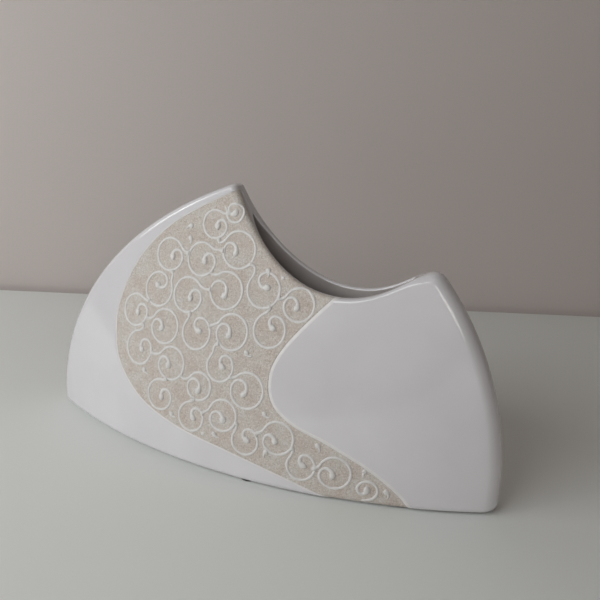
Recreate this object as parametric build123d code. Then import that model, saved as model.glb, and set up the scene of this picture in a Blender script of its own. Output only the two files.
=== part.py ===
# Pillow vase: a flat-sided leaning body cast in two halves and closed by a floor,
# with a scooped mouth and a sanded band that carries trailed slip scrolls.
# Millimetres, +Z up. X runs along the length, -Y is the decorated front, Z = 0 is the table.

import os
from math import cos, hypot, pi, radians, sin, sqrt, tan

from build123d import *

os.makedirs("parts", exist_ok=True)

# Outline seen from the front: each end is a quarter ellipse above the belly.
length = 300.0
belly_level = 8.0
left_reach = 238.0
left_rise = 177.0
right_reach = 161.0
right_rise = 175.0

# Thickness seen from the end: rounded edges with a crowned face between them.
edge_radius_base = 12.4
edge_radius_top = 6.5
crown_base = 30.6
crown_top = 0.4
taper_height = 172.0
ring_count = 9
crest_spare = 5.0

# Wall, floor and foot.
wall = 4.5
right_end_wall = 10.0
base_round = 4.0
floor_thickness = 7.0
floor_inset = 9.0

# Mouth, between the tall left peak and the low right peak.
left_peak_inset = 132.0
right_peak_inset = 47.5
mouth_low_inset = 50.5
mouth_dip = 20.5
left_peak_round = 4.0
right_peak_round = 9.0
left_lead_angle = 10.0
right_lead_angle = 25.0
peak_straight = 9.0

# Roof of the hollow: it closes to a ridge below the left peak, where the mouth ends in a point.
roof_drop = 16.5
roof_angle = 26.0

# Pull of the scoop's curve, as shares of the run and the drop from each peak to the lowest point.
left_pull_run = 0.24
left_pull_drop = 0.57
left_low_run = 0.43
right_pull_run = 0.35
right_pull_drop = 0.40
right_low_run = 0.43

# Sanded band: a recess in the glaze with a thin layer of sand in it.
recess_depth = 1.6
sand_thickness = 0.8
sand_foot_gap = 2.0

# Trailed slip.
slip_height = 1.2
slip_width = 1.6
slip_blob_radius = 1.5
stem_radius = 6.0
stem_turn = 40.0
ease_share = 0.62
ease_turn = 60.0
curl_turn = 150.0
drop_radius = 3.0
drop_width = 1.2
drop_turn = 110.0
drop_head_radius = 1.2
dot_radius = 1.0

# Felt pads under the foot.
pad_thickness = 1.6
pad_radius = 5.0
pad_edge_inset = 3.2
pad_front_x = 12.0
pad_end_inset = 32.0

# The ornament is drawn against these marks of the outline, and follows the body where they move.
drawn_length = 300.0
drawn_left_peak_x = -18.0
drawn_left_peak = 166.5
drawn_low_x = 52.0
drawn_low = 111.6
drawn_right_peak_x = 102.5

# Edges of the sanded band, from the mouth down to the foot.
band_left = [(4, 173), (-39, 150.3), (-63, 134), (-82, 112), (-92, 88), (-93, 70), (-86, 50),
             (-65, 33), (-35, 23.5), (0, 18), (37, 10), (76, -2)]
band_right = [(62, 125), (40, 100), (26, 81), (20.5, 66), (24, 51), (37, 41), (57, 34),
              (81, 23), (99, 10), (110, -4)]

# Scrolls: x, z, loop radius, angle where the loop starts, hand, turn of the loop, curl share.
scrolls = [
    (-14.5, 150.0, 6.0, 185, 1, 295, 0.48),
    (-28.0, 142.0, 8.0, 65, 1, 270, 0.36),
    (-10.5, 129.5, 10.5, 150, -1, 300, 0.38),
    (-57.5, 120.5, 9.5, 35, 1, 300, 0.36),
    (-34.5, 121.0, 9.5, 55, 1, 285, 0.36),
    (-62.5, 99.0, 10.0, 25, -1, 290, 0.40),
    (-78.5, 83.5, 9.5, 60, 1, 285, 0.38),
    (-40.5, 99.5, 10.0, 45, 1, 290, 0.38),
    (-15.0, 106.0, 10.5, 125, -1, 285, 0.48),
    (8.5, 110.0, 10.0, 145, 1, 280, 0.40),
    (31.0, 105.0, 9.0, 150, -1, 305, 0.42),
    (-54.0, 78.5, 10.0, 150, -1, 300, 0.36),
    (-71.5, 62.0, 10.0, 105, 1, 255, 0.38),
    (-30.5, 79.5, 9.5, 145, 1, 265, 0.38),
    (-7.0, 84.0, 10.0, 150, -1, 305, 0.40),
    (16.0, 89.0, 9.5, 120, 1, 275, 0.34),
    (-45.0, 58.5, 9.5, 145, -1, 295, 0.36),
    (-11.0, 64.0, 8.5, 145, 1, 240, 0.40),
    (-50.5, 38.5, 9.0, 90, 1, 255, 0.40),
    (-23.0, 50.0, 8.0, 145, -1, 305, 0.50),
    (8.3, 54.2, 10.0, 135, -1, 305, 0.45),
    (-26.0, 31.5, 8.5, 110, 1, 260, 0.40),
    (-5.0, 37.2, 9.0, 160, -1, 285, 0.46),
    (11.0, 26.0, 8.0, 150, 1, 255, 0.38),
    (31.0, 32.5, 9.5, 155, -1, 285, 0.36),
    (45.5, 18.5, 8.0, 145, 1, 255, 0.38),
    (64.5, 18.0, 9.0, 155, -1, 295, 0.40),
    (83.0, 10.5, 5.5, 280, 1, 240, 0.44),
]

# Loose drops of slip between the scrolls: x, z, angle of the head, hand.
drops = [
    (7.3, 118.7, 72, -1),
    (-44.5, 136.0, 60, 1),
    (-46.5, 130.0, 70, -1),
    (5.5, 73.5, 120, 1),
    (-64.5, 48.5, 110, 1),
    (-40.0, 28.0, 100, 1),
    (-10.5, 26.0, 150, 1),
    (20.5, 44.0, 100, 1),
    (26.5, 20.5, 100, 1),
    (52.0, 29.5, 90, -1),
    (83.0, 19.5, 100, 1),
    (91.5, 8.5, 90, -1),
]
dots = [(19.0, 118.0), (-16.5, 23.5)]


def peak_level(inset, reach, rise):
    return belly_level + rise * sqrt(1 - (1 - inset / reach) ** 2)


left_peak = (-length / 2 + left_peak_inset, peak_level(left_peak_inset, left_reach, left_rise))
right_peak = (length / 2 - right_peak_inset, peak_level(right_peak_inset, right_reach, right_rise))
mouth_low = (right_peak[0] - mouth_low_inset, right_peak[1] - mouth_dip)
top_level = left_peak[1] + crest_spare
foot_level = pad_thickness
floor_level = foot_level + floor_thickness
far = length


def drawn_in(level, peak, reach, rise):
    """How far an end has drawn in at a level: a quarter ellipse, then straight on above its peak."""
    climb = max(min(level, peak) - belly_level, 0.0) / rise
    height_left = sqrt(1 - climb**2)
    lean = reach * climb / (rise * height_left)
    return reach * (1 - height_left) + lean * max(level - peak, 0.0)


def left_edge(level):
    return -length / 2 + drawn_in(level, left_peak[1], left_reach, left_rise)


def right_edge(level):
    return length / 2 - drawn_in(level, right_peak[1], right_reach, right_rise)


def edge_slant(edge, level):
    probe = 0.5
    return hypot(1.0, (edge(level + probe) - edge(level - probe)) / (2 * probe))


def edge_radius(level):
    return edge_radius_base + (edge_radius_top - edge_radius_base) * level / taper_height


def half_depth(level):
    taper = cos(pi / 2 * min(level, taper_height) / taper_height) ** 2
    return edge_radius(level) + crown_top + (crown_base - crown_top) * taper


def oval(level, inset, left_inset, right_inset):
    """Four-arc oval across the body at one level, moved inward by the insets of its sides and ends."""
    left = left_edge(level) + left_inset
    right = right_edge(level) - right_inset
    middle = (left + right) / 2
    half = (right - left) / 2
    depth = half_depth(level) - inset
    nose = edge_radius(level) - inset
    run = half - nose
    face_radius = (run**2 + depth**2 - nose**2) / (2 * (depth - nose))
    lean = face_radius - depth
    span = face_radius - nose
    join_x = run + nose * run / span
    join_y = nose * lean / span
    corners = [(join_x, -join_y), (join_x, join_y), (-join_x, join_y), (-join_x, -join_y)]
    bulges = [(half, 0.0), (0.0, depth), (-half, 0.0), (0.0, -depth)]
    edges = []
    for index, bulge in enumerate(bulges):
        start = corners[index]
        end = corners[(index + 1) % 4]
        edges.append(ThreePointArc(start, bulge, end))
    return Pos(middle, 0, level) * make_face(edges)


def ring_levels(bottom):
    return [bottom + (top_level - bottom) * index / ring_count for index in range(ring_count + 1)]


def skin(inset):
    """The outer body with its rounded foot, moved inward by the inset."""
    solid = loft([oval(level, inset, inset, inset) for level in ring_levels(foot_level + inset)])
    foot_edges = solid.edges().group_by(Axis.Z)[0]
    return fillet(foot_edges, base_round - inset)


def hollow_oval(level, inset, right_wall):
    """Oval inside the walls, which keep their thickness where the ends lean."""
    left_inset = inset * edge_slant(left_edge, level)
    right_inset = right_wall * edge_slant(right_edge, level)
    return oval(level, inset, left_inset, right_inset)


def hollow():
    """The room inside, from the floor up to the ridge of its roof."""
    room = loft([hollow_oval(level, wall, right_end_wall) for level in ring_levels(floor_level)])
    ridge = left_peak[1] - roof_drop
    half_width = ridge * tan(radians(roof_angle))
    gable = Plane.YZ * make_face(Polyline((0, ridge), (-half_width, 0), (half_width, 0), close=True))
    return room & extrude(gable, amount=far, both=True)


def step(point, angle, distance):
    return (point[0] + distance * cos(radians(angle)), point[1] + distance * sin(radians(angle)))


def toward(start, end, run, drop):
    """A point part of the way from start to end, by one share across and another share up or down."""
    return (start[0] + run * (end[0] - start[0]), start[1] + drop * (end[1] - start[1]))


def along(start, end, distance):
    share = distance / hypot(end[0] - start[0], end[1] - start[1])
    return toward(start, end, share, share)


def mouth_face():
    """Everything above the scooped mouth seen from the front, rounded over at both peaks."""
    left_far = step(left_peak, 180 + left_lead_angle, far)
    right_far = step(right_peak, -right_lead_angle, far)
    left_pull = toward(left_peak, mouth_low, left_pull_run, left_pull_drop)
    right_pull = toward(right_peak, mouth_low, right_pull_run, right_pull_drop)
    left_in = along(left_peak, left_pull, peak_straight)
    right_in = along(right_peak, right_pull, peak_straight)
    left_low = toward(mouth_low, left_peak, left_low_run, 0.0)
    right_low = toward(mouth_low, right_peak, right_low_run, 0.0)
    edges = [
        FilletPolyline(left_far, left_peak, left_in, radius=left_peak_round),
        Bezier(left_in, left_pull, left_low, mouth_low),
        Bezier(mouth_low, right_low, right_pull, right_in),
        FilletPolyline(right_in, right_peak, right_far, radius=right_peak_round),
        Polyline(right_far, (right_far[0], far), (left_far[0], far), left_far),
    ]
    return make_face(edges)


def moved(value, drawn_marks, body_marks):
    """A value moved as the marks on both sides of it have moved."""
    index = 0
    while index < len(drawn_marks) - 2 and value > drawn_marks[index + 1]:
        index += 1
    share = (value - drawn_marks[index]) / (drawn_marks[index + 1] - drawn_marks[index])
    return body_marks[index] + share * (body_marks[index + 1] - body_marks[index])


def on_face(x, z):
    """A place of the drawn ornament, on a body of any length, height and mouth."""
    drawn_across = [-drawn_length / 2, drawn_left_peak_x, drawn_low_x, drawn_right_peak_x, drawn_length / 2]
    body_across = [-length / 2, left_peak[0], mouth_low[0], right_peak[0], length / 2]
    drawn_up = [0.0, drawn_low, drawn_left_peak]
    body_up = [0.0, mouth_low[1], left_peak[1]]
    return (moved(x, drawn_across, body_across), moved(z, drawn_up, body_up))


def ribbon(arcs, width):
    """Flat strip along tangent arcs, each given as centre, radius, start angle and turn."""
    sides = []
    for side in (1, -1):
        edges = []
        for centre, radius, start, turn in arcs:
            wide = radius + (width / 2 if turn * side > 0 else -width / 2)
            points = [step(centre, start + turn * share, wide) for share in (0.0, 0.5, 1.0)]
            edges.append(ThreePointArc(*points))
        sides.append(edges)
    caps = [Line(sides[0][0] @ 0, sides[1][0] @ 0), Line(sides[0][-1] @ 1, sides[1][-1] @ 1)]
    return make_face(sides[0] + sides[1] + caps)


def scroll_face(x, z, radius, start, hand, turn, curl_share):
    """One scroll seen from the front: a stem, a loop, and a curl that ends in a blob."""
    ease_radius = radius * ease_share
    curl_radius = radius * curl_share
    ease_start = start + hand * turn
    curl_start = ease_start + hand * ease_turn
    curl_end = curl_start + hand * curl_turn
    loop_centre = on_face(x, z)
    stem_centre = step(loop_centre, start, radius + stem_radius)
    ease_centre = step(loop_centre, ease_start, radius - ease_radius)
    curl_centre = step(ease_centre, curl_start, ease_radius - curl_radius)
    stem = (stem_centre, stem_radius, start + 180 + hand * stem_turn, -hand * stem_turn)
    loop = (loop_centre, radius, start, hand * turn)
    ease = (ease_centre, ease_radius, ease_start, hand * ease_turn)
    curl = (curl_centre, curl_radius, curl_start, hand * curl_turn)
    blob = Pos(*step(curl_centre, curl_end, curl_radius)) * Circle(slip_blob_radius)
    return ribbon([stem, loop], slip_width) + ribbon([ease, curl], slip_width) + blob


def drop_face(x, z, angle, hand):
    """A loose comma of slip with a round head."""
    centre = on_face(x, z)
    tail = (centre, drop_radius, angle, hand * drop_turn)
    return ribbon([tail], drop_width) + Pos(*step(centre, angle, drop_radius)) * Circle(drop_head_radius)


def band_face():
    """The sanded band seen from the front."""
    left = Spline([on_face(x, z) for x, z in band_left])
    right = Spline([on_face(x, z) for x, z in reversed(band_right)])
    ends = [Line(left @ 1, right @ 0), Line(right @ 1, left @ 0)]
    return make_face([left, right] + ends)


def front_prism(face):
    return extrude(Plane.XZ * face, amount=far)


def largest_face(drawing):
    return max(drawing.faces(), key=lambda face: face.area)


pieces = {}

mouth = mouth_face()
mouth_prism = extrude(Plane.XZ * mouth, amount=far, both=True)
floor_oval = hollow_oval(belly_level, floor_inset, floor_inset)
floor_slab = extrude(Pos(0, 0, foot_level - belly_level) * floor_oval, floor_thickness)
vase = skin(0.0) - hollow() - floor_slab - mouth_prism
front_half = Pos(0, -far / 2, 0) * Box(2 * far, far, 2 * far)

sand_floor = skin(recess_depth)
sand_top = skin(recess_depth - sand_thickness)
slip_top = skin(recess_depth - sand_thickness - slip_height)
above_foot = Pos(0, foot_level + sand_foot_gap + far / 2) * Rectangle(2 * far, far)
band = (band_face() - mouth) & above_foot
band_prism = front_prism(band)

pieces["front_shell"] = (vase & front_half) - (band_prism - sand_floor)
pieces["back_shell"] = vase - front_half
pieces["floor_slab"] = floor_slab
pieces["sand_panel"] = (band_prism & sand_top) - sand_floor

drawings = [("scroll", scroll_face(*scroll)) for scroll in scrolls]
drawings += [("drop", drop_face(*drop)) for drop in drops]
drawings += [("dot", Pos(*on_face(x, z)) * Circle(dot_radius)) for x, z in dots]
counts = {"scroll": 0, "drop": 0, "dot": 0}
laid = []
for kind, face in drawings:
    counts[kind] += 1
    face = face & band
    for other in laid:
        if face.bounding_box().overlaps(other.bounding_box()):
            face = face - other
    face = largest_face(face)
    laid.append(face)
    pieces[f"{kind}_{counts[kind]:02d}"] = (front_prism(face) & slip_top) - sand_top

pad_y = half_depth(belly_level) - pad_edge_inset - pad_radius
pad_places = {
    "front": (pad_front_x, -pad_y),
    "back": (pad_front_x, pad_y),
    "left": (-length / 2 + pad_end_inset, 0.0),
    "right": (length / 2 - pad_end_inset, 0.0),
}
for side, (x, y) in pad_places.items():
    pieces[f"felt_pad_{side}"] = Pos(x, y, pad_thickness / 2) * Cylinder(pad_radius, pad_thickness)

for name, piece in pieces.items():
    export_step(piece, f"parts/{name}.step")
print(len(pieces), "pieces")
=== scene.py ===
import math
import random

import bpy
from mathutils import Matrix, Vector, noise


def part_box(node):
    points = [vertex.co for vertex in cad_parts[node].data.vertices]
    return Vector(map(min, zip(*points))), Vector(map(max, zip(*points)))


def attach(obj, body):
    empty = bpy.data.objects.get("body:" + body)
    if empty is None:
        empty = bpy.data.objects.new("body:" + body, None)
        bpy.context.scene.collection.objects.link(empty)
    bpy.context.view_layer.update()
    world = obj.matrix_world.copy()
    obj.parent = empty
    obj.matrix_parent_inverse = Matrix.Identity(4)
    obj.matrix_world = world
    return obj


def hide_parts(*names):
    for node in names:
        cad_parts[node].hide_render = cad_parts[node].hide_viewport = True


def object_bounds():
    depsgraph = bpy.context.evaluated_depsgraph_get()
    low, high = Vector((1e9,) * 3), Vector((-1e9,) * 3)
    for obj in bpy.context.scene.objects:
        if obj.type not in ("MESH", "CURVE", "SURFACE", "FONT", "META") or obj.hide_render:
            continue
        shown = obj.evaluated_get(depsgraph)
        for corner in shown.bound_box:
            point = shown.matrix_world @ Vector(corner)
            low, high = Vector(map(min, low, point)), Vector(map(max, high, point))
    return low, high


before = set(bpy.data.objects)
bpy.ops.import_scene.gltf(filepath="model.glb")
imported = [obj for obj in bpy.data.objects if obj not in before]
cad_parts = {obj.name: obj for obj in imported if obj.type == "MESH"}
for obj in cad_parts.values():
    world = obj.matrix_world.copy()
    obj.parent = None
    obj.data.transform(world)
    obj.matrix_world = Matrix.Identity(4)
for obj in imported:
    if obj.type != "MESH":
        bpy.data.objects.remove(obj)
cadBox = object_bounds()
scene = bpy.context.scene
scene.view_settings.view_transform = "Standard"
mm = 0.001  # the vase and the camera are placed in millimetres, the stage and the lights in metres
tiny = 1e-6  # keeps divisions and directions safe
print("frame loaded,", len(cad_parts), "nodes")


# the body has the sizes of the solids, apart from a thicker end wall on the right
vaseBody = {
    "length": 300.0, "bellyLevel": 8.0,
    "leftReach": 238.0, "leftRise": 177.0, "rightReach": 161.0, "rightRise": 175.0,
    "edgeBase": 12.4, "edgeTop": 6.5, "crownBase": 30.6, "crownTop": 0.4, "taperHeight": 172.0,
    "wall": 4.5, "rightEndWall": 14.0, "roofDrop": 16.5, "roofAngle": 26.0,
    "footLevel": 1.6, "baseRound": 4.0, "floorLevel": 8.6, "floorInset": 9.0,
    "skinGap": 0.04,  # keeps the glaze just inside the solids' box
}
mouthScoop = {
    "leftInset": 132.0, "rightInset": 47.5, "lowInset": 50.5, "dip": 20.5,
    "straight": 9.0, "beyond": 12.0,  # straight stretches inside and past both peaks
    "leftPull": (0.24, 0.57), "leftLow": 0.43, "rightPull": (0.35, 0.40), "rightLow": 0.43,
    "leftSteps": 44, "rightSteps": 34,
    "lip": 2.5, "leftTip": 4.0, "rightTip": 7.5, "leftBlend": 30.0, "rightBlend": 23.0,  # lip's rounding
    "innerLip": 1.2, "innerLipShare": 0.6,  # the share holds where the opening is narrow
    "ends": 3.0,  # stretch at each end of the opening where inner and outer columns part
}


def peakLevel(inset, reach, rise):
    return vaseBody["bellyLevel"] + rise * math.sqrt(1 - (1 - inset / reach) ** 2)


leftPeak = (-vaseBody["length"] / 2 + mouthScoop["leftInset"],
            peakLevel(mouthScoop["leftInset"], vaseBody["leftReach"], vaseBody["leftRise"]))
rightPeak = (vaseBody["length"] / 2 - mouthScoop["rightInset"],
             peakLevel(mouthScoop["rightInset"], vaseBody["rightReach"], vaseBody["rightRise"]))
mouthLow = (rightPeak[0] - mouthScoop["lowInset"], rightPeak[1] - mouthScoop["dip"])


def drawnIn(z, peak, reach, rise):  # a quarter ellipse, then straight on above its peak
    climb = max(min(z, peak) - vaseBody["bellyLevel"], 0.0) / rise
    left = math.sqrt(1 - climb * climb)
    return reach * (1 - left) + reach * climb / (rise * left) * max(z - peak, 0.0)


def leftEdge(z):
    return -vaseBody["length"] / 2 + drawnIn(z, leftPeak[1], vaseBody["leftReach"], vaseBody["leftRise"])


def rightEdge(z):
    return vaseBody["length"] / 2 - drawnIn(z, rightPeak[1], vaseBody["rightReach"], vaseBody["rightRise"])


def slant(edge, z):  # length of an edge for each millimetre of height
    return math.hypot(1.0, edge(z + 0.5) - edge(z - 0.5))


def edgeRadius(z):
    body = vaseBody
    return body["edgeBase"] + (body["edgeTop"] - body["edgeBase"]) * z / body["taperHeight"]


def halfDepth(z):
    body = vaseBody
    taper = math.cos(math.pi / 2 * min(z, body["taperHeight"]) / body["taperHeight"]) ** 2
    return edgeRadius(z) + body["crownTop"] + (body["crownBase"] - body["crownTop"]) * taper


def ovalAt(z, inset=0.0, leftInset=0.0, rightInset=0.0):  # front half of a four-arc oval
    left = leftEdge(z) + leftInset
    right = rightEdge(z) - rightInset
    depth = halfDepth(z) - inset
    nose = edgeRadius(z) - inset
    run = (right - left) / 2 - nose
    face = (run ** 2 + depth ** 2 - nose ** 2) / (2 * (depth - nose))
    turn = math.asin(run / (face - nose))
    return {"z": z, "middle": (left + right) / 2, "depth": depth, "nose": nose, "run": run, "face": face,
            "turn": turn, "faceReach": face * turn, "noseReach": nose * (math.pi / 2 - turn),
            "reach": face * turn + nose * (math.pi / 2 - turn)}


def hollowOval(z, inset, rightWall):  # the walls keep their thickness where the ends lean
    return ovalAt(z, inset, inset * slant(leftEdge, z), rightWall * slant(rightEdge, z))


def alongOval(oval, x):  # distance along the skin from the middle
    return oval["face"] * math.asin(max(-1.0, min(1.0, (x - oval["middle"]) / oval["face"])))


def onOval(oval, along, sink=0.0):  # sink moves inward from the skin
    if abs(along) <= oval["faceReach"]:
        turn = along / oval["face"]
        radius = oval["face"] - sink
        x = oval["middle"] + radius * math.sin(turn)
        return Vector((x, oval["face"] - oval["depth"] - radius * math.cos(turn), oval["z"]))
    side = 1 if along > 0 else -1
    turn = oval["turn"] + min(abs(along) - oval["faceReach"], oval["noseReach"]) / oval["nose"]
    radius = oval["nose"] - sink
    x = oval["middle"] + side * (oval["run"] + radius * math.sin(turn))
    return Vector((x, -radius * math.cos(turn), oval["z"]))


def onFront(x, z, sink=0.0):  # a place on the front seen straight on
    oval = ovalAt(z)
    return onOval(oval, alongOval(oval, x), sink)


def polar(centre, angle, radius):
    turn = math.radians(angle)
    return (centre[0] + radius * math.cos(turn), centre[1] + radius * math.sin(turn))


def toward(start, end, run, drop):  # one share across and another up or down
    return (start[0] + run * (end[0] - start[0]), start[1] + drop * (end[1] - start[1]))


def stepToward(start, end, distance):
    share = distance / math.dist(start, end)
    return toward(start, end, share, share)


def bezierRun(a, b, c, d, steps):
    points = []
    for k in range(1, steps + 1):
        t = k / steps
        w = ((1 - t) ** 3, 3 * t * (1 - t) ** 2, 3 * t * t * (1 - t), t ** 3)
        points.append(tuple(w[0] * a[n] + w[1] * b[n] + w[2] * c[n] + w[3] * d[n] for n in (0, 1)))
    return points


def scoopRun():  # the mouth seen from the front, from left to right, straight on past both peaks
    mouth = mouthScoop
    leftPull = toward(leftPeak, mouthLow, *mouth["leftPull"])
    rightPull = toward(rightPeak, mouthLow, *mouth["rightPull"])
    leftIn = stepToward(leftPeak, leftPull, mouth["straight"])
    rightIn = stepToward(rightPeak, rightPull, mouth["straight"])
    leftLow = toward(mouthLow, leftPeak, mouth["leftLow"], 0)
    rightLow = toward(mouthLow, rightPeak, mouth["rightLow"], 0)
    run = [stepToward(leftPeak, leftPull, -mouth["beyond"]), leftPeak, leftIn]
    run += bezierRun(leftIn, leftPull, leftLow, mouthLow, mouth["leftSteps"])
    run += bezierRun(mouthLow, rightLow, rightPull, rightIn, mouth["rightSteps"])
    return run + [rightPeak, stepToward(rightPeak, rightPull, -mouth["beyond"])]


def smoothStep(t):
    t = max(0.0, min(1.0, t))
    return t * t * (3 - 2 * t)


def lipRound(x):  # the lip is rounder towards both tips
    mouth = mouthScoop
    left = smoothStep(1 - (x - leftPeak[0]) / mouth["leftBlend"])
    right = smoothStep(1 - (rightPeak[0] - x) / mouth["rightBlend"]) ** 2
    lip = mouth["lip"]
    return lip + (mouth["leftTip"] - lip) * left + (mouth["rightTip"] - lip) * right


def loweredRun(run, drop):  # the mouth line moved down into the body, with its up direction
    line = []
    for k, p in enumerate(run):
        along = (Vector(run[min(k + 1, len(run) - 1)]) - Vector(run[max(k - 1, 0)])).normalized()
        line.append((p[0] + along.y * drop, p[1] - along.x * drop, -along.y, along.x))
    return line


def heightOn(line, x):  # level and up direction of a mouth line
    for a, b in zip(line[:-1], line[1:]):
        if a[0] <= x <= b[0]:
            t = (x - a[0]) / max(b[0] - a[0], tiny)
            up = Vector((a[2] + (b[2] - a[2]) * t, 0, a[3] + (b[3] - a[3]) * t)).normalized()
            return a[1] + (b[1] - a[1]) * t, up
    end = line[0] if x < line[0][0] else line[-1]
    return end[1], Vector((end[2], 0, end[3])).normalized()


scoop = scoopRun()
mouthLine = loweredRun(scoop, 0.0)
crest = cadBox[1][2] / mm - vaseBody["skinGap"]  # nothing stands above the solids
print("mouth line,", len(scoop), "points")


sandBand = {  # left and right hold x and z along its edges, from the mouth to the foot
    "left": [(4, 173), (-39, 150.3), (-63, 134), (-82, 112), (-92, 88), (-93, 70), (-86, 50),
             (-65, 33), (-35, 23.5), (0, 18), (37, 10), (76, -2)],
    "right": [(62, 125), (40, 100), (26, 81), (20.5, 66), (24, 51), (37, 41), (57, 34),
              (81, 23), (99, 10), (110, -4)],
    "edgeSteps": 12, "recess": 1.6, "sandSink": 0.8, "under": 0.35, "flush": 0.35,
    "rollWidth": 1.9, "rollDrop": 0.4, "rollPower": 2.2, "tipShare": 0.8,  # the glaze rolls down to the sand
    "border": {"leftRoll": 0.8, "rightRoll": 1.9},
    "columns": 130, "rows": 280, "layer": 0.45, "footStart": 0.8,
    "capIn": (0.5, 1.0), "capDown": (0.05, 0.45),  # over the lip
    "coarse": 0.10, "coarseScale": 0.35, "fine": 0.07, "fineScale": 1.7, "calmColumns": 6,
    "trailRoom": 1.3, "mouthRoom": 1.0, "footRoom": 3.0,  # kept free of slip
}


def splineValue(a, b, c, d, t):
    return 0.5 * (2 * b + (c - a) * t + (2 * a - 5 * b + 4 * c - d) * t * t
                  + (3 * b - a - 3 * c + d) * t ** 3)


def splineRun(points, steps):  # a smooth line through given points
    last = len(points) - 1
    run = []
    for k in range(last):
        a, b, c, d = (points[min(max(k + n, 0), last)] for n in (-1, 0, 1, 2))
        for step in range(steps):
            run.append(tuple(splineValue(a[n], b[n], c[n], d[n], step / steps) for n in (0, 1)))
    return run + [points[-1]]


bandLeft = sorted(splineRun(sandBand["left"], sandBand["edgeSteps"]), key=lambda p: p[1])
bandRight = sorted(splineRun(sandBand["right"], sandBand["edgeSteps"]), key=lambda p: p[1])


def bandX(edge, z):  # x of one edge of the band at a height
    k = 0
    while k < len(edge) - 2 and z > edge[k + 1][1]:
        k += 1
    a, b = edge[k], edge[k + 1]
    return a[0] + (b[0] - a[0]) * (z - a[1]) / max(b[1] - a[1], tiny)


def bandSlant(edge, z):
    return math.hypot(1.0, (bandX(edge, z + 1.0) - bandX(edge, z - 1.0)) / 2)


def rollSink(d):  # how far the glaze has dropped at d outside the band's edge
    share = max(1 - d / sandBand["rollWidth"], 0.0)
    return sandBand["rollDrop"] * share ** sandBand["rollPower"]


glazeGrid = {
    "nose": [0.0, 0.02, 0.06, 0.12, 0.19, 0.27, 0.36, 0.45, 0.54, 0.63, 0.72, 0.81, 0.9, 1.0],
    "roll": [0.0, 0.15, 0.4, 0.8, 1.2, 1.6, 1.9, 2.6, 3.5],
    "leftField": 14, "under": 20, "rightField": 28, "back": 66,
    "frontRows": 120, "backRows": 90, "innerRows": 46, "innerPower": 1.6, "foot": 7,
    "lip": 7, "lipTop": (0.25, 0.5, 0.75),
    "searchFrom": 60.0, "outerOver": 4.0, "innerOver": 2.0,  # levels between which columns meet the mouth
    "levelHalvings": 30, "shareHalvings": 24,
}


def frontColumns():  # each column is a rule for its place along the skin
    grid = glazeGrid
    columns = [("leftNose", share) for share in grid["nose"]]
    columns += [("leftField", k / grid["leftField"]) for k in range(1, grid["leftField"])]
    columns += [("leftRoll", d) for d in reversed(grid["roll"])]
    columns += [("under", k / grid["under"]) for k in range(grid["under"] + 1)]
    columns += [("rightRoll", d) for d in grid["roll"]]
    columns += [("rightField", k / grid["rightField"]) for k in range(1, grid["rightField"])]
    return columns + [("rightNose", share) for share in reversed(grid["nose"])]


def backColumns():
    grid = glazeGrid
    columns = [("leftNose", share) for share in grid["nose"]]
    columns += [("back", k / grid["back"]) for k in range(1, grid["back"])]
    return columns + [("rightNose", share) for share in reversed(grid["nose"])]


def columnPlace(rule, oval):  # distance along the skin and sink below it
    kind, value = rule
    skin = vaseBody["skinGap"]
    if kind == "leftNose":
        return -oval["reach"] + oval["noseReach"] * value, skin
    if kind == "rightNose":
        return oval["reach"] - oval["noseReach"] * value, skin
    if kind == "back":
        return oval["faceReach"] * (2 * value - 1), skin
    z = oval["z"]
    left = alongOval(oval, bandX(bandLeft, z))
    right = alongOval(oval, bandX(bandRight, z))
    reach = glazeGrid["roll"][-1]
    leftRoom = sandBand["tipShare"] * (left + oval["faceReach"]) / reach  # narrow towards the tip
    leftScale = min(bandSlant(bandLeft, z), leftRoom)
    rightScale = bandSlant(bandRight, z)
    if kind == "leftField":
        return -oval["faceReach"] + (left - reach * leftScale + oval["faceReach"]) * value, skin
    if kind == "leftRoll":
        return left - value * leftScale, skin + rollSink(value)
    if kind == "rightRoll":
        return right + value * rightScale, skin + rollSink(value)
    if kind == "rightField":
        start = right + reach * rightScale
        return start + (oval["faceReach"] - start) * value, skin
    if kind == "under":
        start = left + sandBand["under"] * leftScale
        end = right - sandBand["under"] * rightScale
        return start + (end - start) * value, skin + sandBand["recess"]
    return left + (right - left) * value, skin + sandBand["sandSink"]  # the sand itself


def columnPoint(rule, z):
    oval = ovalAt(z)
    return onOval(oval, *columnPlace(rule, oval))


def halving(low, high, steps, below):  # the value up to which below holds
    for k in range(steps):
        middle = (low + high) / 2
        if below(middle):
            low = middle
        else:
            high = middle
    return low


def meetLevel(pointAt, line, over):  # level where a column meets a mouth line
    return halving(glazeGrid["searchFrom"], leftPeak[1] + over, glazeGrid["levelHalvings"],
                   lambda z: z < heightOn(line, pointAt(z).x)[0])


def columnTop(rule, line):
    return meetLevel(lambda z: columnPoint(rule, z), line, glazeGrid["outerOver"])


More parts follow.
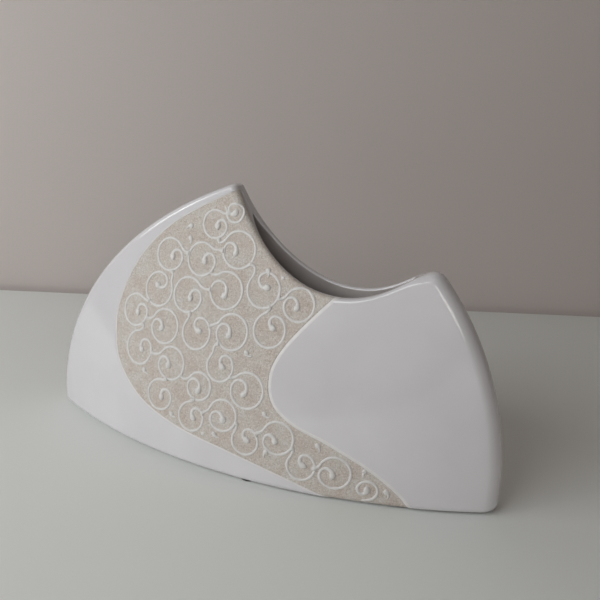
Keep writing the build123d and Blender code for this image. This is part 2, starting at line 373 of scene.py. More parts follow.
def lipArc(rule, drop=0.0):  # top level of a column, the rounded lip above it and its two directions
    line = loweredRun(scoop, drop)
    zEdge = columnTop(rule, line)
    edge = columnPoint(rule, zEdge)
    oval = ovalAt(zEdge)
    along, sink = columnPlace(rule, oval)
    inward = onOval(oval, along, sink + 1.0) - edge
    up = heightOn(line, edge.x)[1]
    rise = (edge - columnPoint(rule, zEdge - 1.0)).normalized()
    over = (inward - up * inward.dot(up)).normalized()
    turn = rise.angle(over)
    radius = lipRound(edge.x) - drop
    trim = radius * math.tan(turn / 2)
    pull = radius * math.tan(turn / 4) * 4 / 3  # makes the curve below an arc
    zEnd = zEdge - trim * rise.z
    start = columnPoint(rule, zEnd)
    end = edge + over * trim
    arc = []
    for k in range(1, glazeGrid["lip"]):
        t = k / (glazeGrid["lip"] - 1)
        p = start * (1 - t) ** 3 + (start + rise * pull) * 3 * t * (1 - t) ** 2
        p += (end - over * pull) * 3 * t * t * (1 - t) + end * t ** 3
        p.z = min(p.z, crest)
        arc.append(p)
    return zEnd, arc, over, up


def innerPoint(share, z):  # the room inside, which closes to a ridge below the left peak
    body = vaseBody
    oval = hollowOval(z, body["wall"], body["rightEndWall"])
    p = onOval(oval, oval["reach"] * share)
    roof = max(leftPeak[1] - body["roofDrop"] - z, 0.0) * math.tan(math.radians(body["roofAngle"]))
    p.y = -min(-p.y, roof)
    return p


def innerTop(share, line):
    return meetLevel(lambda z: innerPoint(share, z), line, glazeGrid["innerOver"])


def innerColumn(share):  # from the rounded inner lip down to the floor's rebate
    body, grid = vaseBody, glazeGrid
    rim = innerPoint(share, innerTop(share, mouthLine))
    radius = max(min(mouthScoop["innerLip"], -rim.y * mouthScoop["innerLipShare"]), 0.0)
    line = loweredRun(scoop, radius)
    zTop = innerTop(share, line)
    base = innerPoint(share, zTop)
    up = heightOn(line, base.x)[1]
    outward = Vector((0, -1, 0))
    column = []
    for k in range(grid["lip"] - 1, 0, -1):
        turn = math.pi / 2 * k / (grid["lip"] - 1)
        column.append(base + outward * radius * (1 - math.cos(turn)) + up * radius * math.sin(turn))
    for k in range(grid["innerRows"] + 1):
        z = zTop + (body["floorLevel"] - zTop) * (k / grid["innerRows"]) ** grid["innerPower"]
        column.append(innerPoint(share, z))
    rebate = hollowOval(body["bellyLevel"], body["floorInset"], body["floorInset"])
    p = onOval(rebate, rebate["reach"] * share)
    return column + [Vector((p.x, p.y, body["floorLevel"])), Vector((p.x, p.y, body["footLevel"]))]


def outerRim(rule):
    return columnPoint(rule, columnTop(rule, mouthLine)).x


def innerRim(share):
    return innerPoint(share, innerTop(share, mouthLine)).x


outerEnds = outerRim(("leftNose", 0.0)), outerRim(("rightNose", 0.0))
innerEnds = innerRim(-1.0), innerRim(1.0)


def innerShare(rule):  # the inner column that stands behind an outer one at the mouth
    x = outerRim(rule)
    ends = mouthScoop["ends"]
    left = innerEnds[0] + ends
    right = innerEnds[1] - ends
    if x < left:
        x = left - (left - x) * ends / (left - outerEnds[0])
    if x > right:
        x = right + (x - right) * ends / (outerEnds[1] - right)
    return halving(-1.0, 1.0, glazeGrid["shareHalvings"], lambda share: innerRim(share) < x)


def glazeColumn(rule, rows):  # from the foot up over the lip and down inside to the floor
    body, grid = vaseBody, glazeGrid
    column = []
    for k in range(grid["foot"]):  # rounded foot
        turn = math.pi / 2 * k / (grid["foot"] - 1)
        oval = ovalAt(body["footLevel"] + body["baseRound"] * (1 - math.cos(turn)))
        along, sink = columnPlace(rule, oval)
        column.append(onOval(oval, along, sink + body["baseRound"] * (1 - math.sin(turn))))
    zStart = body["footLevel"] + body["baseRound"]
    drop = sandBand["sandSink"] if rule[0] == "under" else 0.0  # leaves room for the sand over the lip
    zEnd, arc = lipArc(rule, drop)[:2]
    for k in range(1, rows + 1):
        column.append(columnPoint(rule, zStart + (zEnd - zStart) * k / rows))
    column += arc
    inner = innerColumn(innerShare(rule))
    for t in grid["lipTop"]:
        p = arc[-1].lerp(inner[0], t)
        p.z = min(heightOn(mouthLine, p.x)[0] - drop * (1 - t), crest)
        column.append(p)
    return column + inner


def newPiece(name, points, faces):
    mesh = bpy.data.meshes.new(name)
    mesh.from_pydata([(p[0] * mm, p[1] * mm, p[2] * mm) for p in points], [], faces)
    mesh.polygons.foreach_set("use_smooth", [True] * len(mesh.polygons))
    piece = bpy.data.objects.new(name, mesh)
    scene.collection.objects.link(piece)
    return piece


def paintHalf(piece, columns, count, rows):  # further materials: a darker glaze with painted shade on the inside, and a lighter border along the sand
    border = sandBand["border"]
    inside = rows + glazeGrid["foot"] + 2 * glazeGrid["lip"]  # the last row of the inner lip
    for k in range(len(columns) - 1):
        onBorder = all(value <= border.get(kind, -1) for kind, value in columns[k:k + 2])
        for n in range(count):
            # material 1 is the darker glaze that paints shade inside the mouth
            if n >= inside:
                piece.data.polygons[k * count + n].material_index = 1
            elif onBorder:
                piece.data.polygons[k * count + n].material_index = 2


def creaseHalf(piece, columns, count):  # sharp at the joint faces and the floor's rebate
    sharp = set()
    for joint in list(piece.data.polygons)[-2:]:
        joint.use_smooth = False
        sharp.update(joint.edge_keys)
    for k in range(len(columns) - 1):
        for n in (count - 3, count - 2, count - 1):
            sharp.add((k * count + n, (k + 1) * count + n))
    for edge in piece.data.edges:
        edge.use_edge_sharp = tuple(sorted(edge.vertices)) in sharp


def glazedHalf(name, columns, rows, mirror):
    skin = [glazeColumn(rule, rows) for rule in columns]
    count = len(skin[0])
    points = [(p.x, -p.y if mirror else p.y, p.z) for column in skin for p in column]
    faces = []
    for k in range(len(columns) - 1):
        for n in range(count):
            a = k * count + n
            b = k * count + (n + 1) % count
            faces.append([a, a + count, b + count, b])
    faces.append(list(range(count)))  # the two joint faces
    faces.append([(len(columns) - 1) * count + n for n in reversed(range(count))])
    if mirror:
        faces = [face[::-1] for face in faces]
    piece = newPiece(name, points, faces)
    paintHalf(piece, columns, count, rows)
    creaseHalf(piece, columns, count)
    return piece


frontGlaze = glazedHalf("frontGlaze", frontColumns(), glazeGrid["frontRows"], False)
backGlaze = glazedHalf("backGlaze", backColumns(), glazeGrid["backRows"], True)
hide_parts("front_shell")
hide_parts("back_shell")
for piece in (frontGlaze, backGlaze):
    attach(piece, "root")
print("glazed halves built")


def sandPoint(rule, z, rough):  # flush and calm at the edges of the band, rough inside
    band, body = sandBand, vaseBody
    oval = ovalAt(z)
    along, sink = columnPlace(rule, oval)
    below = max(body["footLevel"] + body["baseRound"] - z, 0.0)
    sink += body["baseRound"] - math.sqrt(body["baseRound"] ** 2 - below ** 2)
    spot = onOval(oval, along, sink)
    sink -= (1 - rough) * band["flush"]
    sink += (rough * band["coarse"] * noise.noise(spot * band["coarseScale"])
             + rough * band["fine"] * noise.noise(spot * band["fineScale"]))
    return onOval(oval, along, sink)


def buildSand():
    band = sandBand
    zFoot = vaseBody["footLevel"] + band["footStart"]
    points, faces = [], []
    for n in range(band["columns"] + 1):
        rule = ("sand", n / band["columns"])
        rough = min(n, band["columns"] - n, band["calmColumns"]) / band["calmColumns"]
        zEnd, arc, over, up = lipArc(rule)
        for k in range(band["rows"] + 1):
            points.append(sandPoint(rule, zFoot + (zEnd - zFoot) * k / band["rows"], rough))
        points += arc
        for inStep, downStep in zip(band["capIn"], band["capDown"]):
            points.append(arc[-1] + over * inStep - up * downStep)
    count = band["rows"] + glazeGrid["lip"] + len(band["capIn"])  # points in one column
    for n in range(band["columns"]):
        for k in range(count - 1):
            a = n * count + k
            faces.append([a, a + count, a + count + 1, a + 1])
    piece = newPiece("sandBand", points, faces)
    layer = piece.modifiers.new("layer", "SOLIDIFY")
    layer.thickness = band["layer"] * mm
    layer.offset = -1.0
    return piece


sand = buildSand()
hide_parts("sand_panel")
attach(sand, "root")
print("sand band built")


slipTrail = {
    "scrolls": [  # x, z, loop radius, angle where the loop starts, hand, turn of the loop, curl share
        (-15.8, 149.6, 5.3, 185, 1, 295, 0.46), (-28.0, 142.0, 8.0, 65, 1, 270, 0.36),
        (-10.5, 129.5, 10.5, 150, -1, 300, 0.38), (-57.5, 120.5, 9.5, 35, 1, 300, 0.36),
        (-34.5, 121.0, 9.5, 55, 1, 285, 0.36), (-62.5, 99.0, 10.0, 25, -1, 290, 0.40),
        (-78.5, 83.5, 9.5, 60, 1, 285, 0.38), (-40.5, 99.5, 10.0, 45, 1, 290, 0.38),
        (-15.0, 106.0, 10.5, 125, -1, 285, 0.48), (8.5, 110.0, 10.0, 145, 1, 280, 0.40),
        (31.0, 105.0, 9.0, 150, -1, 305, 0.42), (-54.0, 78.5, 10.0, 150, -1, 300, 0.36),
        (-71.5, 62.0, 10.0, 105, 1, 255, 0.38), (-30.5, 79.5, 9.5, 145, 1, 265, 0.38),
        (-7.0, 84.0, 10.0, 150, -1, 305, 0.40), (16.0, 89.0, 9.5, 120, 1, 275, 0.34),
        (-45.0, 58.5, 9.5, 145, -1, 295, 0.36), (-11.0, 64.0, 8.5, 145, 1, 240, 0.40),
        (-50.5, 38.5, 9.0, 90, 1, 255, 0.40), (-23.0, 50.0, 8.0, 145, -1, 305, 0.50),
        (8.3, 54.2, 10.0, 135, -1, 305, 0.45), (-26.0, 31.5, 8.5, 110, 1, 260, 0.40),
        (-5.0, 37.2, 9.0, 160, -1, 285, 0.46), (11.0, 26.0, 8.0, 150, 1, 255, 0.38),
        (30.4, 31.7, 9.3, 155, -1, 285, 0.36), (45.5, 18.5, 8.0, 145, 1, 255, 0.38),
        (64.5, 18.0, 9.0, 155, -1, 295, 0.40), (83.0, 10.5, 5.5, 280, 1, 240, 0.44),
    ],
    "drops": [  # x, z, angle of the head, hand
        (7.3, 118.7, 72, -1), (-44.5, 136.0, 60, 1), (-46.5, 130.0, 70, -1), (7.0, 76.1, 180, 1),
        (-62.5, 51.3, 180, 1), (-37.5, 31.0, 180, 1), (-6.5, 27.0, 180, 1), (23.5, 45.3, 180, 1),
        (26.5, 20.5, 100, 1), (52.0, 29.5, 90, -1), (83.0, 19.5, 100, 1), (91.5, 8.5, 90, -1),
    ],
    "dots": [(19.0, 118.0), (-16.5, 23.5)],  # x, z
    "width": 1.65, "height": 0.55, "blob": 2.05, "blobHeight": 1.2, "softness": 1.15,
    "taper": 2.5, "thin": 0.3,  # where a trail starts free
    "tipFloor": 0.02,  # square of the least half width at an end
    "flare": 1.15, "flareLength": 3.2, "flarePower": 1.5, "swell": 0.75, "swellLength": 11.0,
    "joinReach": 7.5, "joinFacing": 0.3, "joinPull": 0.5, "joinLead": 0.6, "joinSteps": 3,
    "stemRadius": 6.0, "stemTurn": 40.0, "easeShare": 0.62, "easeTurn": 60.0, "curlTurn": 150.0,
    "headShare": 0.62, "headTurn": 75.0, "waver": [(0.08, 0.31, 1), (0.06, 0.83, 2)],
    "dropRadius": 3.0, "dropTurn": 110.0, "dropWidth": 1.6, "dropHead": 1.6,
    "dropHeight": 0.9, "dropThin": 0.25, "dropRise": 0.45,
    "dot": 1.2, "dotHeight": 0.6, "dotSteps": 12, "dotReach": 0.98,
    "step": 0.5, "arcSteps": 4, "across": 10, "bed": 0.12, "root": 0.35, "rootShare": 0.4, "seed": 11,
}


def arcRun(centre, radius, start, turn):
    count = max(int(abs(math.radians(turn)) * radius / slipTrail["step"]), slipTrail["arcSteps"])
    return [polar(centre, start + turn * k / count, radius) for k in range(count + 1)]


def scrollRun(x, z, radius, start, hand, turn, curlShare):  # a stem, a loop and ever tighter arcs
    trail = slipTrail
    ease = radius * trail["easeShare"]
    curl = radius * curlShare
    head = curl * trail["headShare"]
    easeStart = start + hand * turn
    curlStart = easeStart + hand * trail["easeTurn"]
    headStart = curlStart + hand * trail["curlTurn"]
    stemCentre = polar((x, z), start, radius + trail["stemRadius"])
    easeCentre = polar((x, z), easeStart, radius - ease)
    curlCentre = polar(easeCentre, curlStart, ease - curl)
    headCentre = polar(curlCentre, headStart, curl - head)
    stemTurn = hand * trail["stemTurn"]
    run = arcRun(stemCentre, trail["stemRadius"], start + 180 + stemTurn, -stemTurn)
    run += arcRun((x, z), radius, start, hand * turn)[1:]
    run += arcRun(easeCentre, ease, easeStart, hand * trail["easeTurn"])[1:]
    run += arcRun(curlCentre, curl, curlStart, hand * trail["curlTurn"])[1:]
    return run + arcRun(headCentre, head, headStart, hand * trail["headTurn"])[1:]


def joinedRun(index, runs):  # leads the start of a trail into the nearest other trail
    trail = slipTrail
    start = Vector(runs[index][0])
    out = (start - Vector(runs[index][2])).normalized()
    best, reach = None, trail["joinReach"]
    for n, other in enumerate(runs):
        for spot in other:
            gap = Vector(spot) - start
            if n != index and gap.length < reach and gap.dot(out) > trail["joinFacing"] * gap.length:
                best, reach = spot, gap.length
    if best is None:
        return runs[index], False
    pull = tuple(start + out * reach * trail["joinPull"])
    lead = toward(best, pull, trail["joinLead"], trail["joinLead"])
    steps = max(int(reach / trail["step"]), trail["joinSteps"])
    return [best] + bezierRun(best, lead, pull, tuple(start), steps)[:-1] + runs[index], True


def overLip(x, z):  # how far the skin falls away towards the mouth
    level, up = heightOn(mouthLine, x)
    radius = lipRound(x)
    inside = min(max(radius - (level - z) * up.z, 0.0), radius)
    return radius - math.sqrt(radius * radius - inside * inside)


def insideBand(spot):  # a trail stops short of the glaze on both sides, the foot and the mouth
    band = sandBand
    level, up = heightOn(mouthLine, spot[0])
    z = min(max(spot[1], vaseBody["footLevel"] + band["footRoom"]), level - band["mouthRoom"] / up.z)
    low = bandX(bandLeft, z) + band["trailRoom"] * bandSlant(bandLeft, z)
    high = bandX(bandRight, z) - band["trailRoom"] * bandSlant(bandRight, z)
    return (min(max(spot[0], low), high), z)


def trailWidths(run, base, endRadius, joined=False, swell=0.0):  # flared or thin start, round end
    trail = slipTrail
    far = [0.0]
    for a, b in zip(run[:-1], run[1:]):
        far.append(far[-1] + math.dist(a, b))
    widths = []
    for d in far:
        left = far[-1] - d
        width = base * (trail["thin"] + (1 - trail["thin"]) * math.sqrt(min(d / trail["taper"], 1.0)))
        if joined:
            flare = max(1 - d / trail["flareLength"], 0.0) ** trail["flarePower"]
            width = base * (1 + trail["flare"] * flare)
        width *= 1 + swell * smoothStep(1 - left / trail["swellLength"])
        if left < 2 * endRadius:
            blob = 2 * math.sqrt(max(endRadius ** 2 - (left - endRadius) ** 2, trail["tipFloor"]))
            width = blob if left < endRadius else max(width, blob)
        widths.append(width)
    return widths


def handWaver(k, phase):  # the unsteadiness of a hand, as a share of the width
    share = 1.0
    for size, rate, times in slipTrail["waver"]:
        share += size * math.sin(rate * k + times * phase)
    return share


def scrollHeight(width):  # the swelling ends stand higher than the lines
    trail = slipTrail
    swell = smoothStep((width - trail["width"]) / trail["width"])
    low = trail["height"] * min(1.0, trail["thin"] + (1 - trail["thin"]) * width / trail["width"])
    return low + (trail["blobHeight"] - trail["height"]) * swell


def dropHeight(width):
    trail = slipTrail
    return trail["dropHeight"] * min(1.0, trail["dropThin"] + trail["dropRise"] * width / trail["dropWidth"])


def trailPiece(name, run, widths, heights):
    trail = slipTrail
    run = [insideBand(spot) for spot in run]
    points, faces = [], []
    side = Vector((0.0, 1.0))
    for k, (x, z) in enumerate(run):
        along = Vector(run[min(k + 1, len(run) - 1)]) - Vector(run[max(k - 1, 0)])
        if along.length > tiny:
            side = Vector((-along.y, along.x)).normalized()
        bed = sandBand["sandSink"] + trail["bed"] + overLip(x, z)
        section = []  # distance from the middle of the trail, and sink
        for n in range(trail["across"] + 1):
            turn = math.pi * n / trail["across"]
            rise = math.sin(turn) ** trail["softness"] * heights[k]
            section.append((-math.cos(turn) * widths[k] / 2, bed - rise))
        for share in (trail["rootShare"], -trail["rootShare"]):  # rooted a little in the sand
            section.append((share * widths[k], bed + trail["root"]))
        points += [onFront(x + side.x * d, z + side.y * d, sink) for d, sink in section]
    count = len(section)
    for k in range(len(run) - 1):
        for n in range(count):
            a = k * count + n
            b = k * count + (n + 1) % count
            faces.append([a, b, b + count, a + count])
    faces.append(list(reversed(range(count))))
    faces.append([(len(run) - 1) * count + n for n in range(count)])
    return newPiece(name, points, faces)


slipPieces = []
dice = random.Random(slipTrail["seed"])
scrollRuns = [scrollRun(*scroll) for scroll in slipTrail["scrolls"]]
for index in range(len(scrollRuns)):
    run, joined = joinedRun(index, scrollRuns)
    widths = trailWidths(run, slipTrail["width"], slipTrail["blob"], joined, slipTrail["swell"])
    phase = dice.random() * 2 * math.pi
    widths = [width * handWaver(k, phase) for k, width in enumerate(widths)]
    heights = [scrollHeight(width) for width in widths]
    piece = trailPiece("slipScroll%02d" % (index + 1), run, widths, heights)
    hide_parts("scroll_%02d" % (index + 1))
    slipPieces.append(piece)
for index, (x, z, angle, hand) in enumerate(slipTrail["drops"]):
    turn = hand * slipTrail["dropTurn"]
    run = arcRun((x, z), slipTrail["dropRadius"], angle + turn, -turn)
    widths = trailWidths(run, slipTrail["dropWidth"], slipTrail["dropHead"])
    heights = [dropHeight(width) for width in widths]
    piece = trailPiece("slipDrop%02d" % (index + 1), run, widths, heights)
    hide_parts("drop_%02d" % (index + 1))
    slipPieces.append(piece)
for index, (x, z) in enumerate(slipTrail["dots"]):
    steps = slipTrail["dotSteps"]
    offsets = [-math.cos(math.pi * k / steps) * slipTrail["dotReach"] for k in range(steps + 1)]
    run = [(x + slipTrail["dot"] * d, z) for d in offsets]
    widths = [2 * slipTrail["dot"] * math.sqrt(1 - d * d) for d in offsets]
    heights = [slipTrail["dotHeight"] * math.sqrt(1 - d * d) for d in offsets]
    piece = trailPiece("slipDot%02d" % (index + 1), run, widths, heights)
    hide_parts("dot_%02d" % (index + 1))
    slipPieces.append(piece)
for piece in slipPieces:
    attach(piece, "root")
print("slip trails built,", len(slipPieces))


feltPad = {
    "sides": ("front", "back", "left", "right"),
    "profile": [(0.0, 0.0), (0.5, 0.0), (0.9, 0.0), (0.97, 0.06), (1.0, 0.3), (1.0, 0.7),
                (0.98, 0.93), (0.93, 1.0), (0.5, 1.0), (0.0, 1.0)],  # shares of the radius and the height
    "segments": 48, "fray": 0.025, "seed": 3,
}


def buildPad(name, node):
    low, high = (Vector(p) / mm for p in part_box(node))
    middle = (low + high) / 2
    radius = (high.x - low.x) / 2
    seg = feltPad["segments"]
    rings = feltPad["profile"][1:-1]
    dice = random.Random(feltPad["seed"])
    points, faces = [(middle.x, middle.y, 0.0)], []
    for r, h in rings:
        for k in range(seg):
            a = 2 * math.pi * k / seg
            out = radius * r * (1 - feltPad["fray"] * dice.random())
            points.append((middle.x + out * math.cos(a), middle.y + out * math.sin(a), high.z * h))
    points.append((middle.x, middle.y, high.z))
    last = 1 + (len(rings) - 1) * seg
    for n in range(len(rings) - 1):
        for k in range(seg):
            a = 1 + n * seg + k
            b = 1 + n * seg + (k + 1) % seg
            faces.append([a, b, b + seg, a + seg])
    for k in range(seg):
        faces.append([0, 1 + (k + 1) % seg, 1 + k])
        faces.append([len(points) - 1, last + k, last + (k + 1) % seg])
    piece = newPiece(name, points, faces)
    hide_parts(node)
    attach(piece, "root")
    return piece


pads = [buildPad("feltPad" + side.capitalize(), "felt_pad_" + side) for side in feltPad["sides"]]
print("felt pads built")


mottleSpread = {"From Min": 0.3, "From Max": 0.7}  # stretches the cloud's middle tones


def mottleGroup():  # soft mottling between two tones, in the piece's own coordinates
    group = bpy.data.node_groups.new("firedMottle", "ShaderNodeTree")
    for name, kind in (("Scale", "NodeSocketFloat"), ("Detail", "NodeSocketFloat"),
                       ("Dark", "NodeSocketColor"), ("Light", "NodeSocketColor")):
        group.interface.new_socket(name, in_out="INPUT", socket_type=kind)
    group.interface.new_socket("Color", in_out="OUTPUT", socket_type="NodeSocketColor")
    group.interface.new_socket("Height", in_out="OUTPUT", socket_type="NodeSocketFloat")
    nodes, links = group.nodes, group.links
    gin = nodes.new("NodeGroupInput")
    gout = nodes.new("NodeGroupOutput")
    coord = nodes.new("ShaderNodeTexCoord")
    cloud = nodes.new("ShaderNodeTexNoise")
    spread = nodes.new("ShaderNodeMapRange")
    for socket, value in mottleSpread.items():
        spread.inputs[socket].default_value = value
    mix = nodes.new("ShaderNodeMix")
    mix.data_type = "RGBA"  # colour sockets are 6 and 7 in, 2 out
    links.new(coord.outputs["Object"], cloud.inputs["Vector"])
    links.new(gin.outputs["Scale"], cloud.inputs["Scale"])
    links.new(gin.outputs["Detail"], cloud.inputs["Detail"])
    links.new(cloud.outputs["Fac"], spread.inputs["Value"])
    links.new(spread.outputs["Result"], mix.inputs["Factor"])
    links.new(gin.outputs["Dark"], mix.inputs[6])
    links.new(gin.outputs["Light"], mix.inputs[7])
    links.new(mix.outputs[2], gout.inputs["Color"])
    links.new(spread.outputs["Result"], gout.inputs["Height"])
    return group


mottle = mottleGroup()


def newMaterial(name):
    mat = bpy.data.materials.new(name)
    mat.use_nodes = True
    return mat, mat.node_tree.nodes, mat.node_tree.links, mat.node_tree.nodes["Principled BSDF"]


def addMottle(nodes, look):
    node = nodes.new("ShaderNodeGroup")
    node.node_tree = mottle
    node.inputs["Scale"].default_value = look["cloud"]
    node.inputs["Detail"].default_value = look["detail"]
    node.inputs["Dark"].default_value = (*look["dark"], 1)
    node.inputs["Light"].default_value = (*look["light"], 1)
    return node


def addBump(nodes, links, height, look):
    bump = nodes.new("ShaderNodeBump")
    bump.inputs["Strength"].default_value = look["bump"]
    bump.inputs["Distance"].default_value = look["rise"]
    links.new(height, bump.inputs["Height"])
    return bump


def mottledFinish(name, look):  # with a bump from the same mottling where the finish has one
    mat, nodes, links, shader = newMaterial(name)
    tone = addMottle(nodes, look)
    links.new(tone.outputs["Color"], shader.inputs["Base Color"])
    for socket, value in look["sockets"].items():
        shader.inputs[socket].default_value = value
    if "bump" in look:
        bump = addBump(nodes, links, tone.outputs["Height"], look)
        links.new(bump.outputs["Normal"], shader.inputs["Normal"])
    return mat


whiteGlaze = {
    "dark": (0.68, 0.665, 0.693), "light": (0.73, 0.715, 0.743), "cloud": 22, "detail": 3,
    "bump": 0.03, "rise": 0.001,  # rise of the bump in metres
    "sockets": {"Roughness": 0.11, "Coat Weight": 0.5, "Coat Roughness": 0.03},
}
glazeMat = mottledFinish("whiteGlaze", whiteGlaze)

# the inside of the mouth gets a darker, browner glaze than the outside: painted shade in the mouth's recess
innerPaintedShade = {
    "dark": (0.47, 0.43, 0.42), "light": (0.53, 0.495, 0.485), "cloud": 60, "detail": 3,
    "sockets": {"Roughness": 0.35},
}
innerShadeMat = mottledFinish("innerGlazePaintedShade", innerPaintedShade)

borderFinish = {
    "dark": (0.73, 0.71, 0.71), "light": (0.79, 0.77, 0.765), "cloud": 300, "detail": 3,
    "sockets": {"Roughness": 0.45},
}
borderMat = mottledFinish("slipBorder", borderFinish)

slipFinish = {
    "dark": (0.68, 0.665, 0.655), "light": (0.755, 0.74, 0.73), "cloud": 500, "detail": 3,
    "bump": 0.2, "rise": 0.0004,
    "sockets": {"Roughness": 0.36},
}
slipMat = mottledFinish("whiteSlip", slipFinish)

feltFinish = {
    "dark": (0.012, 0.012, 0.011), "light": (0.05, 0.05, 0.045), "cloud": 2500, "detail": 4,
    "bump": 0.8, "rise": 0.0003,
    "sockets": {"Roughness": 0.95, "Sheen Weight": 0.3},
}
feltMat = mottledFinish("darkFelt", feltFinish)

clayFinish = {
    "dark": (0.55, 0.52, 0.47), "light": (0.66, 0.63, 0.58), "cloud": 300, "detail": 5,
    "bump": 0.3, "rise": 0.0004,
    "sockets": {"Roughness": 0.75},
}
clayMat = mottledFinish("bareClay", clayFinish)

sandFinish = {
    "grains": [(0.0, (0.43, 0.38, 0.335)), (0.25, (0.56, 0.52, 0.485)), (0.6, (0.625, 0.59, 0.56)),
               (1.0, (0.76, 0.74, 0.72))],  # place on the ramp and colour
    "grain": 1700, "roughness": 0.78, "bump": 0.5, "rise": 0.0004,
    "patches": {"dark": (0.93, 0.86, 0.82), "light": (1.0, 1.01, 1.0), "cloud": 110, "detail": 6},
}


def grainRamp(nodes):
    ramp = nodes.new("ShaderNodeValToRGB")
    stops = ramp.color_ramp.elements
    for place, color in sandFinish["grains"][1:-1]:
        stops.new(place)
    for stop, (place, color) in zip(stops, sandFinish["grains"]):
        stop.position = place
        stop.color = (*color, 1)
    return ramp


def bondedSand():  # single grains in many tones, with larger patches over them
    mat, nodes, links, shader = newMaterial("bondedSand")
    coord = nodes.new("ShaderNodeTexCoord")
    grain = nodes.new("ShaderNodeTexVoronoi")
    grain.inputs["Scale"].default_value = sandFinish["grain"]
    links.new(coord.outputs["Object"], grain.inputs["Vector"])
    ramp = grainRamp(nodes)
    links.new(grain.outputs["Color"], ramp.inputs["Fac"])
    patches = addMottle(nodes, sandFinish["patches"])
    shade = nodes.new("ShaderNodeMix")
    shade.data_type = "RGBA"
    shade.blend_type = "MULTIPLY"
    shade.inputs["Factor"].default_value = 1.0
    links.new(ramp.outputs["Color"], shade.inputs[6])
    links.new(patches.outputs["Color"], shade.inputs[7])
    links.new(shade.outputs[2], shader.inputs["Base Color"])
    shader.inputs["Roughness"].default_value = sandFinish["roughness"]
    bump = addBump(nodes, links, grain.outputs["Distance"], sandFinish)
    bump.invert = True
    links.new(bump.outputs["Normal"], shader.inputs["Normal"])
    return mat


sandMat = bondedSand()


def dress(piece, *mats):
    for mat in mats:
        piece.data.materials.append(mat)


# the second material on each half paints shade inside the mouth
dress(frontGlaze, glazeMat, innerShadeMat, borderMat)
dress(backGlaze, glazeMat, innerShadeMat)
dress(sand, sandMat)
for piece in slipPieces:
    dress(piece, slipMat)
for piece in pads:
    dress(piece, feltMat)
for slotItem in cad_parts["floor_slab"].material_slots:
    slotItem.material = clayMat
print("materials dressed")


# a pale table with a plain wall behind it, its foot along the line seen in the photograph
stageLook = {
    "table": (0.88, 0.905, 0.885), "wall": (0.585, 0.53, 0.51),
    "backLeft": (-0.396, 0.1651), "backRight": (0.2147, 0.4398),
    "wide": 4.0, "deep": 3.0, "tall": 2.5, "sunk": 0.2, "gap": 0.008,
    "cloud": 3, "detail": 2, "shade": 0.97, "roughness": 0.6,
}


def flatPiece(name, corners, color):  # seen only from its front
    piece = newPiece(name, [Vector(p) / mm for p in corners], [[0, 1, 2, 3]])
    paint = {
        "dark": tuple(c * stageLook["shade"] for c in color), "light": color,
        "cloud": stageLook["cloud"], "detail": stageLook["detail"],
        "sockets": {"Roughness": stageLook["roughness"]},
    }
    mat = mottledFinish(name + "Paint", paint)
    nodes, links = mat.node_tree.nodes, mat.node_tree.links
    facing = nodes.new("ShaderNodeNewGeometry")
    front = nodes.new("ShaderNodeMath")
    front.operation = "SUBTRACT"
    front.inputs[0].default_value = 1.0
    links.new(facing.outputs["Backfacing"], front.inputs[1])
    links.new(front.outputs["Value"], nodes["Principled BSDF"].inputs["Alpha"])
    dress(piece, mat)


backLeft, backRight = Vector(stageLook["backLeft"]), Vector(stageLook["backRight"])
backAlong = (backRight - backLeft).normalized()
backAway = Vector((-backAlong.y, backAlong.x))
farLeft = backLeft - backAlong * stageLook["wide"]
farRight = backRight + backAlong * stageLook["wide"]
nearLeft = farLeft - backAway * stageLook["deep"]
nearRight = farRight - backAway * stageLook["deep"]
wallLeft = farLeft + backAway * stageLook["gap"]
wallRight = farRight + backAway * stageLook["gap"]
wallFoot, wallTop = -stageLook["sunk"], stageLook["tall"]
flatPiece("table", [(*nearLeft, 0), (*nearRight, 0), (*farRight, 0), (*farLeft, 0)], stageLook["table"])
flatPiece("wall", [(*wallLeft, wallFoot), (*wallRight, wallFoot), (*wallRight, wallTop),
                   (*wallLeft, wallTop)], stageLook["wall"])

photoView = {
    "yaw": 21.901, "pitch": 16.894, "roll": 3.263, "right": 22.421, "up": 18.647, "away": 388.052,
    "aim": (0, 0, 80), "lens": 639.195, "frame": 600.0,  # lens and frame in pixels
    "sensor": 36.0, "clip": 10.0,
}


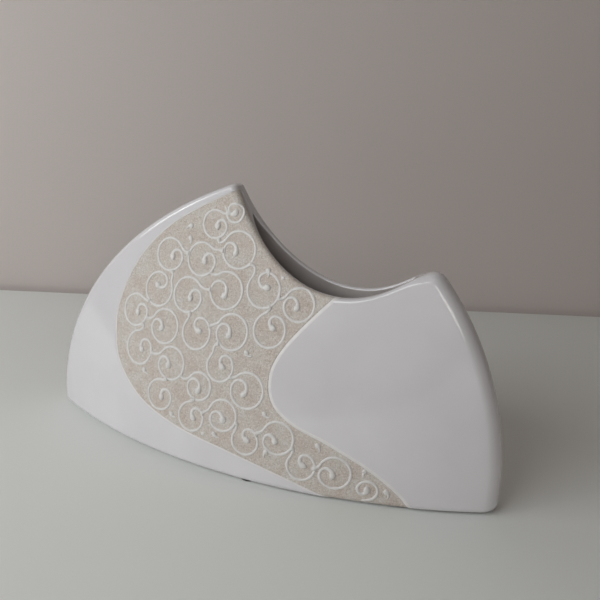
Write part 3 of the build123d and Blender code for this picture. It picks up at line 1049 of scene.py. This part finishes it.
def placeCamera():
    view = photoView
    yaw, pitch, roll = (math.radians(view[angle]) for angle in ("yaw", "pitch", "roll"))
    back = Vector((math.sin(yaw) * math.cos(pitch), -math.cos(yaw) * math.cos(pitch), math.sin(pitch)))
    right = (-back).cross(Vector((0, 0, 1))).normalized()
    up = right.cross(-back)
    spot = Vector(view["aim"]) + back * view["away"] + right * view["right"] + up * view["up"]
    r = right * math.cos(roll) + up * math.sin(roll)
    u = up * math.cos(roll) - right * math.sin(roll)
    data = bpy.data.cameras.new("photoView")
    data.sensor_width = view["sensor"]
    data.lens = view["sensor"] * view["lens"] / view["frame"]
    data.clip_start = view["clip"] * mm
    cam = bpy.data.objects.new("photoView", data)
    cam.matrix_world = Matrix(((r.x, u.x, back.x, spot.x * mm), (r.y, u.y, back.y, spot.y * mm),
                               (r.z, u.z, back.z, spot.z * mm), (0, 0, 0, 1)))
    scene.collection.objects.link(cam)
    scene.camera = cam


placeCamera()

roomLight = {
    "world": (0.66, 0.57, 0.50), "worldStrength": 0.15,
    "window": {"spot": (-0.86, -0.65, 0.46), "aim": (-0.03, 0, 0.15), "size": (0.5, 0.3), "power": 2.9,
               "color": (0.97, 1.0, 1.0)},
    "room": {"spot": (-0.36, -0.86, 0.61), "aim": (0.0, 0, 0.07), "size": (0.7, 0.6), "power": 4.25,
             "color": (0.98, 1.0, 1.0)},
    "fill": {"spot": (0.72, -1.20, 0.37), "aim": (0.05, 0, 0.09), "size": (0.6, 0.25), "power": 1.4,
             "color": (1.0, 0.96, 0.92)},
}
world = bpy.data.worlds.new("room")
world.use_nodes = True
world.node_tree.nodes["Background"].inputs["Color"].default_value = (*roomLight["world"], 1)
world.node_tree.nodes["Background"].inputs["Strength"].default_value = roomLight["worldStrength"]
scene.world = world


def softLight(name):
    look = roomLight[name]
    data = bpy.data.lights.new(name + "Light", "AREA")
    data.shape = "RECTANGLE"
    data.size, data.size_y = look["size"]
    data.energy = look["power"]
    data.color = look["color"]
    lamp = bpy.data.objects.new(name + "Light", data)
    lamp.location = look["spot"]
    lamp.rotation_euler = (Vector(look["aim"]) - Vector(look["spot"])).to_track_quat("-Z", "Y").to_euler()
    scene.collection.objects.link(lamp)


for name in ("window", "room", "fill"):
    softLight(name)
print("stage, camera and lights placed")
